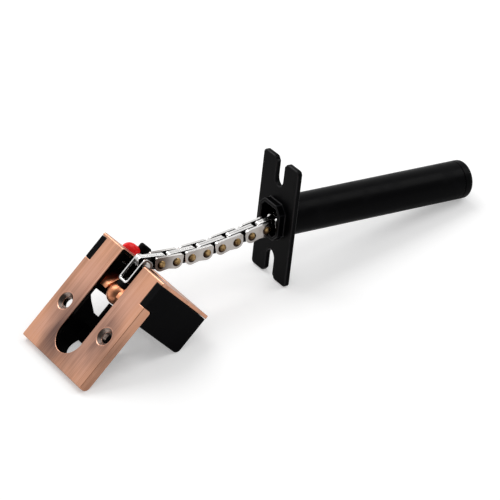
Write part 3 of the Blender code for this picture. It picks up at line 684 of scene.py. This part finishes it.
def keeper_axes():
    """The keeper's corner and its axes: x back from its face, y across, z up its face."""
    rise = Vector(joint("thumb_turn")["axis"]).normalized()
    side = Vector((0, 1, 0))
    inward = side.cross(rise)
    points = [vert.co for vert in frame["nodes"]["keeper_shell"].data.vertices]
    face = min(point.dot(inward) for point in points)
    top = max(point.dot(rise) for point in points)
    return inward * face + rise * top, inward, side, rise


def chain_pins():
    """Each link's two pins, by the link's body, the one nearer the barrel first."""
    ends = {}
    for found in frame["joints"]:
        if found["name"].startswith("pivot_") or found["name"] == "clevis_pivot":
            ends.setdefault(found["child"], []).insert(0, Vector(found["pos_m"]))
            ends.setdefault(found["parent"], []).append(Vector(found["pos_m"]))
    return {body: pins for body, pins in ends.items() if len(pins) == 2}


def plate_outline(pitch, end, shoulder):
    """A link plate along x, its pins at 0 and at the pitch."""
    level = PLATE_ABOVE - shoulder
    right = arc(pitch + end - shoulder, level, shoulder, 0, 90)
    left = arc(shoulder - end, level, shoulder, 90, 180)
    left_lobe = arc(0, 0, PLATE_LOBE, *LEFT_LOBE_DEG)
    right_lobe = arc(pitch, 0, PLATE_LOBE, *RIGHT_LOBE_DEG)
    return right + left + left_lobe + [(pitch / 2, -PLATE_WAIST)] + right_lobe


def link_plate(node, looks):
    start, end = chain_pins()[body_of(node)]
    along = (end - start).normalized()
    above = across.cross(along)
    pitch = (end - start).length
    low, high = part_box(node)
    if node.startswith(MOUTH_PLATES):
        outline = plate_outline(pitch, MOUTH_PLATE_END, MOUTH_SHOULDER)
    else:
        outline = plate_outline(pitch, PLATE_END, PLATE_SHOULDER)
    holes = [arc(x, 0, PLATE_HOLE, 0, 360, PLATE_HOLE_STEPS)[:-1] for x in (0, pitch)]
    mesh = prism(node, [outline, *holes], -high.y, -low.y, (along, above, -across), start)
    outside = -1 if node.endswith("near") else 1
    # Faces that look at the next plate, and both flat faces of the inner plates, take the near-black
    # painted shade
    for face in mesh.polygons:
        shown = face.normal.y * outside
        if shown < -FLAT_FACE or (shown > FLAT_FACE and node.startswith("inner")):
            face.material_index = INSIDE
        else:
            # Narrow faces take the rubbed nickel, made brighter on the tops partly as painted
            # highlight; outward faces take the face look
            face.material_index = EDGE if abs(shown) < FLAT_FACE else FACE
    round_edges(finished(node, mesh, [*looks, painted_shade_look]), PLATE_EDGE)


def rivet(node, looks):
    """A pin with a domed head at each end, as long as the solid that it stands for."""
    low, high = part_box(node)
    half = (high.y - low.y) / 2
    shaft = PLATE_HOLE - RIVET_CLEARANCE
    seat = half - RIVET_SHOULDER
    angles = [math.radians(90 * i / DOME_STEPS) for i in range(DOME_STEPS + 1)]
    crown = [
        (RIVET_HEAD_RADIUS * math.sin(a), half - RIVET_DOME * (1 - math.cos(a))) for a in angles
    ]
    upper = [*crown, (RIVET_HEAD_RADIUS, seat), (shaft, seat)]
    profile = upper + [(radius, -height) for radius, height in reversed(upper)]
    finished(node, turned(node, profile, middle_of(node), (0, 1, 0)), looks)


def in_slot(place):
    """Whether a place, measured from the keeper's corner, lies in its slot or on the slot's walls."""
    between_sides = abs(place.y) < SLOT_HALF + LINER_GAP
    between_ends = SLOT_TOP_DROP < -place.dot(up) < SLOT_FOOT_DROP
    return between_sides and between_ends and place.dot(back) < SLOT_REACH


def keeper(looks):
    """The keeper, with wider countersinks, dark walls in its slot and a screw sleeve behind each
    hole."""
    piece = finished("keeper_shell", copy_of("keeper_shell"), [*looks, sink_look, slot_look])
    slope = (SINK_RADIUS - SINK_FOOT_RADIUS) / SINK_DEPTH
    cone = [
        (0, -SINK_DEPTH),
        (SINK_RADIUS + slope * SINK_DEPTH, -SINK_DEPTH),
        (SINK_FOOT_RADIUS, SINK_DEPTH),
        (SINK_FOOT_RADIUS, 2 * SINK_DEPTH),
        (0, 2 * SINK_DEPTH),
    ]
    sleeve = [
        (SINK_FOOT_RADIUS, SLEEVE_START),
        (SLEEVE_RADIUS, SLEEVE_START),
        (SLEEVE_RADIUS, SLEEVE_END),
        (SINK_FOOT_RADIUS, SLEEVE_END),
        (SINK_FOOT_RADIUS, SLEEVE_START),
    ]
    for name, side in (("left", 1), ("right", -1)):
        centre = corner + across * side * HOLE_SPACING / 2 - up * HOLE_DROP
        mesh = turned("sink", cone, centre, back)
        mesh.materials.append(sink_look)
        cut(piece, bpy.data.objects.new("sink", mesh))
        mesh = turned(f"sleeve_{name}", sleeve, centre, back)
        mesh.materials.append(sink_look)
        ring = bpy.data.objects.new(f"screw_sleeve_{name}", mesh)
        bpy.context.scene.collection.objects.link(ring)
        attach(ring, "keeper")

    for face in piece.data.polygons:
        if in_slot(face.center - corner) and abs(face.normal.dot(back)) < FLAT_FACE:
            face.material_index = SLOT_WALL
    piece.data.shade_smooth()

    def kept_sharp(place):
        return in_slot(place - corner) and (place - corner).dot(back) > SLOT_FRONT

    round_edges(piece, EDGE_WIDTHS["keeper_shell"], kept_sharp)


def face_plate(looks):
    """The face plate, with its screw slots as narrow as the photograph shows them."""
    mesh = copy_of("face_plate")
    into = -Vector(joint("chain_draw")["axis"]).normalized()
    rise = into.cross(across)
    heights = [vert.co.dot(rise) for vert in mesh.vertices]
    level = (min(heights) + max(heights)) / 2
    for vert in mesh.vertices:
        if abs(vert.co.dot(rise) - level) > PLATE_SLOT_START and abs(vert.co.y) < PLATE_SLOT_HALF:
            vert.co.y *= SLOT_NARROWING
    round_edges(finished("face_plate", mesh, looks), EDGE_WIDTHS["face_plate"])


def lock_box(looks):
    """The lock box, whose tabs fill the keeper's notches with no light round them."""
    mesh = copy_of("lock_box")
    for vert in mesh.vertices:
        place = vert.co - corner
        aside = abs(place.y)
        height = place.dot(up)
        if place.dot(back) < TAB_DEPTH and aside > TAB_SIDE and height > -TAB_FOOT:
            if aside < TAB_INNER_SIDE:
                vert.co -= across * math.copysign(TAB_GROWTH, place.y)
            vert.co += up * math.copysign(TAB_GROWTH, height + TAB_FOOT / 2)
    round_edges(finished("lock_box", mesh, looks), EDGE_WIDTHS["lock_box"])


def clevis(looks):
    """The clevis, with a brown painted reflection of the copper keeper outside, near-black painted
    shade inside its bend, and bright rims.
    """
    mesh = copy_of("clevis")
    shape = bmesh.new()
    shape.from_mesh(mesh)
    middle = middle_of("clevis")
    for face in shape.faces:
        place = face.calc_center_median() - middle
        inward = face.normal.y * place.y < 0 and abs(face.normal.y) > FLAT_FACE
        bend = face.normal.dot(up) > FLAT_FACE and place.dot(up) < 0
        face.material_index = INSIDE if inward or bend else FACE
        if abs(face.normal.dot(back)) > FLAT_FACE:
            face.material_index = EDGE
    rims = [
        edge
        for edge in shape.edges
        if {face.material_index for face in edge.link_faces} == {EDGE, INSIDE}
    ]
    bmesh.ops.bevel(
        shape, geom=rims, offset=CLEVIS_RIM, segments=1, affect="EDGES", material=INSIDE
    )
    shape.to_mesh(mesh)
    shape.free()
    # Brown painted reflection outside, rubbed nickel on the rims, near-black painted shade inside
    worn = [painted_reflection_looks[FACE], looks[EDGE], painted_shade_look]
    round_edges(finished("clevis", mesh, worn), EDGE_WIDTH)


def hub(looks):
    """The thumb turn's hub, as tall as the photograph shows it."""
    mesh = copy_of("turn_hub")
    for vert in mesh.vertices:
        if (vert.co - corner).dot(up) > HUB_SHOULDER:
            vert.co += up * HUB_RISE
    round_edges(finished("turn_hub", mesh, looks), EDGE_WIDTH)


def tip(looks):
    """The thumb turn's red tip: a long dome that runs forward from the hub, flat underneath."""
    foot = corner + across * TURN_ASIDE + up * TIP_LIFT + back * TIP_CENTRE
    shape = bmesh.new()
    bmesh.ops.create_uvsphere(shape, u_segments=TURNED_STEPS, v_segments=TIP_RINGS, radius=1)
    for vert in shape.verts:
        x, y, z = vert.co
        blunt = ((1 + x * x) / (1 - x * x)) ** TIP_BLUNT_POWER if 0 < x < TIP_POLE else 1
        length = TIP_HUB_LENGTH if x > 0 else TIP_HALF_LENGTH
        width = TIP_HALF_WIDTH * (1 + TIP_EGG * x) * blunt
        height = TIP_HEIGHT * z * blunt if z > 0 else 0
        vert.co = foot + back * (x * length) + across * (y * width) + up * height
    bmesh.ops.remove_doubles(shape, verts=shape.verts, dist=WELD)
    join_flat_faces(shape)
    bmesh.ops.recalc_face_normals(shape, faces=shape.faces)
    mesh = bpy.data.meshes.new("turn_tip")
    shape.to_mesh(mesh)
    shape.free()
    finished("turn_tip", mesh, looks)
    mesh.set_sharp_from_angle(angle=math.radians(TIP_SHARP_DEG))


def liner(looks):
    """The black trough behind the slot, as deep as the photograph shows it."""
    inner = SLOT_HALF + LINER_GAP
    outer = inner + LINER_WALL
    ends = outer + LINER_WALL
    top = LINER_SIDE[0][1] + LINER_WALL
    steps = 3 * ARC_STEPS
    trough = [(outer, top)] + arc(0, -SLOT_CENTRE_DROP, outer, 0, -180, steps)
    trough += [(-outer, top), (-inner, top)]
    trough += arc(0, -SLOT_CENTRE_DROP, inner, -180, 0, steps) + [(inner, top)]
    depth = max(x for x, _ in LINER_SIDE)
    mesh = prism("liner", [trough], 0, depth + LINER_WALL, (across, up, back), corner)
    piece = finished("slot_liner", mesh, looks)
    sideways = (back, up, -across)
    side = prism("liner_side", [LINER_SIDE], -ends, ends, sideways, corner)
    cut(piece, bpy.data.objects.new("liner_side", side), "INTERSECT")
    reach = inner + LINER_GAP
    wall = prism("liner_wall", [LINER_BACK], -reach, reach, sideways, corner)
    cut(piece, bpy.data.objects.new("liner_wall", wall), "UNION")
    piece.data.shade_smooth()
    round_edges(piece, EDGE_WIDTH)


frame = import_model()
bpy.context.scene.view_settings.view_transform = "Standard"
add_camera()
add_floor()
add_world()
add_lamps()

corner, back, across, up = keeper_axes()
keeper_turn = math.atan2(up.x, up.z)

copper_looks = [copper("brushed_copper", wear=1.0), copper("rubbed_copper", wear=0.2)]
nickel_looks = [
    nickel("polished_nickel", (0.64, 0.60, 0.57), (0.50, 0.46, 0.43), smooth=0.10, rough=0.20),
    # Rubbed nickel for edges and plate tops: real wear on the edges, made brighter on the tops partly
    # as painted highlight
    nickel("rubbed_nickel_and_painted_highlight", (0.95, 0.94, 0.93), (0.86, 0.85, 0.84), smooth=0.10, rough=0.16),
]
# Copies of the nickel with a brown painted reflection of the copper keeper, for the outer plate
# nearest the clevis and for the clevis's outside
painted_reflection_looks = [
    nickel("nickel_painted_reflection", (0.64, 0.60, 0.57), (0.46, 0.41, 0.37), 0.10, 0.20, painted_reflection=0.9),
    nickel("nickel_edges_painted_reflection_and_highlight", (0.92, 0.90, 0.88), (0.80, 0.78, 0.76), 0.10, 0.16, painted_reflection=0.6),
]
# Near-black painted shade between the chain's plates, inside the clevis and on the stud
painted_shade_look = dark_metal("nickel_painted_shade", (0.012, 0.011, 0.011), smooth=0.20, rough=0.35)
sink_look = dark_metal("bare_countersink", (0.30, 0.235, 0.205), smooth=0.16, rough=0.30)
slot_look = dark_metal("blackened_slot", (0.008, 0.005, 0.004), smooth=0.25, rough=0.45)
jaw_look = polished_copper("jaw_copper", JAW_SHADE_HEIGHT)
ball_look = polished_copper("ball_copper", BALL_SHADE_HEIGHT)
bronze_look = bronze("bronze_painted_shade")
paint_look = coated(
    "satin_black_paint",
    colour=(0.0010, 0.0010, 0.0014),
    rubbed=(0.0026, 0.0026, 0.0032),
    roughness=0.30,
    grain=2400,
    depth=0.00002,
    specular=0.04,
)
paint_edge_look = coated(
    "rubbed_black_paint",
    colour=(0.006, 0.006, 0.007),
    rubbed=(0.015, 0.015, 0.017),
    roughness=0.26,
    grain=2400,
    depth=0.00002,
    specular=0.18,
)
plastic_look = coated(
    "matte_black_plastic",
    colour=(0.0012, 0.0012, 0.0016),
    rubbed=(0.0030, 0.0030, 0.0036),
    roughness=0.5,
    grain=1800,
    depth=0.00003,
    specular=0.05,
)
plastic_edge_look = coated(
    "rubbed_black_plastic",
    colour=(0.0025, 0.0025, 0.003),
    rubbed=(0.006, 0.006, 0.007),
    roughness=0.4,
    grain=1800,
    depth=0.00002,
    specular=0.10,
)
rubber_look = coated(
    "black_rubber",
    colour=(0.003, 0.003, 0.003),
    rubbed=(0.008, 0.008, 0.008),
    roughness=0.65,
    grain=1500,
    depth=0.00004,
    specular=0.12,
)
red_look = coated(
    "glossy_red_plastic",
    colour=(0.96, 0.008, 0.010),
    rubbed=(1.0, 0.03, 0.025),
    roughness=0.26,
    grain=900,
    depth=0.00001,
    specular=0.25,
)

# Face and edge looks, by the record's material slot and for the nodes that have their own
LOOKS = {
    "black_paint": [paint_look, paint_edge_look],
    "black_plastic": [plastic_look, plastic_edge_look],
    "black_rubber": [rubber_look, rubber_look],
    "copper": copper_looks,
    "polished_steel": nickel_looks,
    "bronze": [bronze_look, bronze_look],
    "red_plastic": [red_look, red_look],
}
OWN_LOOKS = {
    "barrel_tube": [paint_look, paint_look],
    "barrel_cap": [paint_look, paint_look],
    # The stud takes the near-black painted shade
    "stud": [painted_shade_look, painted_shade_look],
    "jaw_near": [jaw_look, ball_look],
    "jaw_far": [jaw_look, ball_look],
    "ball": [ball_look, ball_look],
}
MAKERS = {
    "keeper_shell": keeper,
    "lock_box": lock_box,
    "slot_liner": liner,
    "turn_hub": hub,
    "turn_tip": tip,
    "face_plate": face_plate,
    "clevis": clevis,
}

for node in frame["nodes"]:
    looks = OWN_LOOKS.get(node, LOOKS[slot_of(node)])
    if node in MAKERS:
        MAKERS[node](looks)
    elif "_plate_" in node:
        link_plate(node, painted_reflection_looks if node.startswith(PAINTED_REFLECTION_PLATES) else looks)
    elif node.startswith("chain_pin") or node == "clevis_pin":
        rivet(node, looks)
    else:
        round_edges(finished(node, copy_of(node), looks), EDGE_WIDTHS.get(node, EDGE_WIDTH))
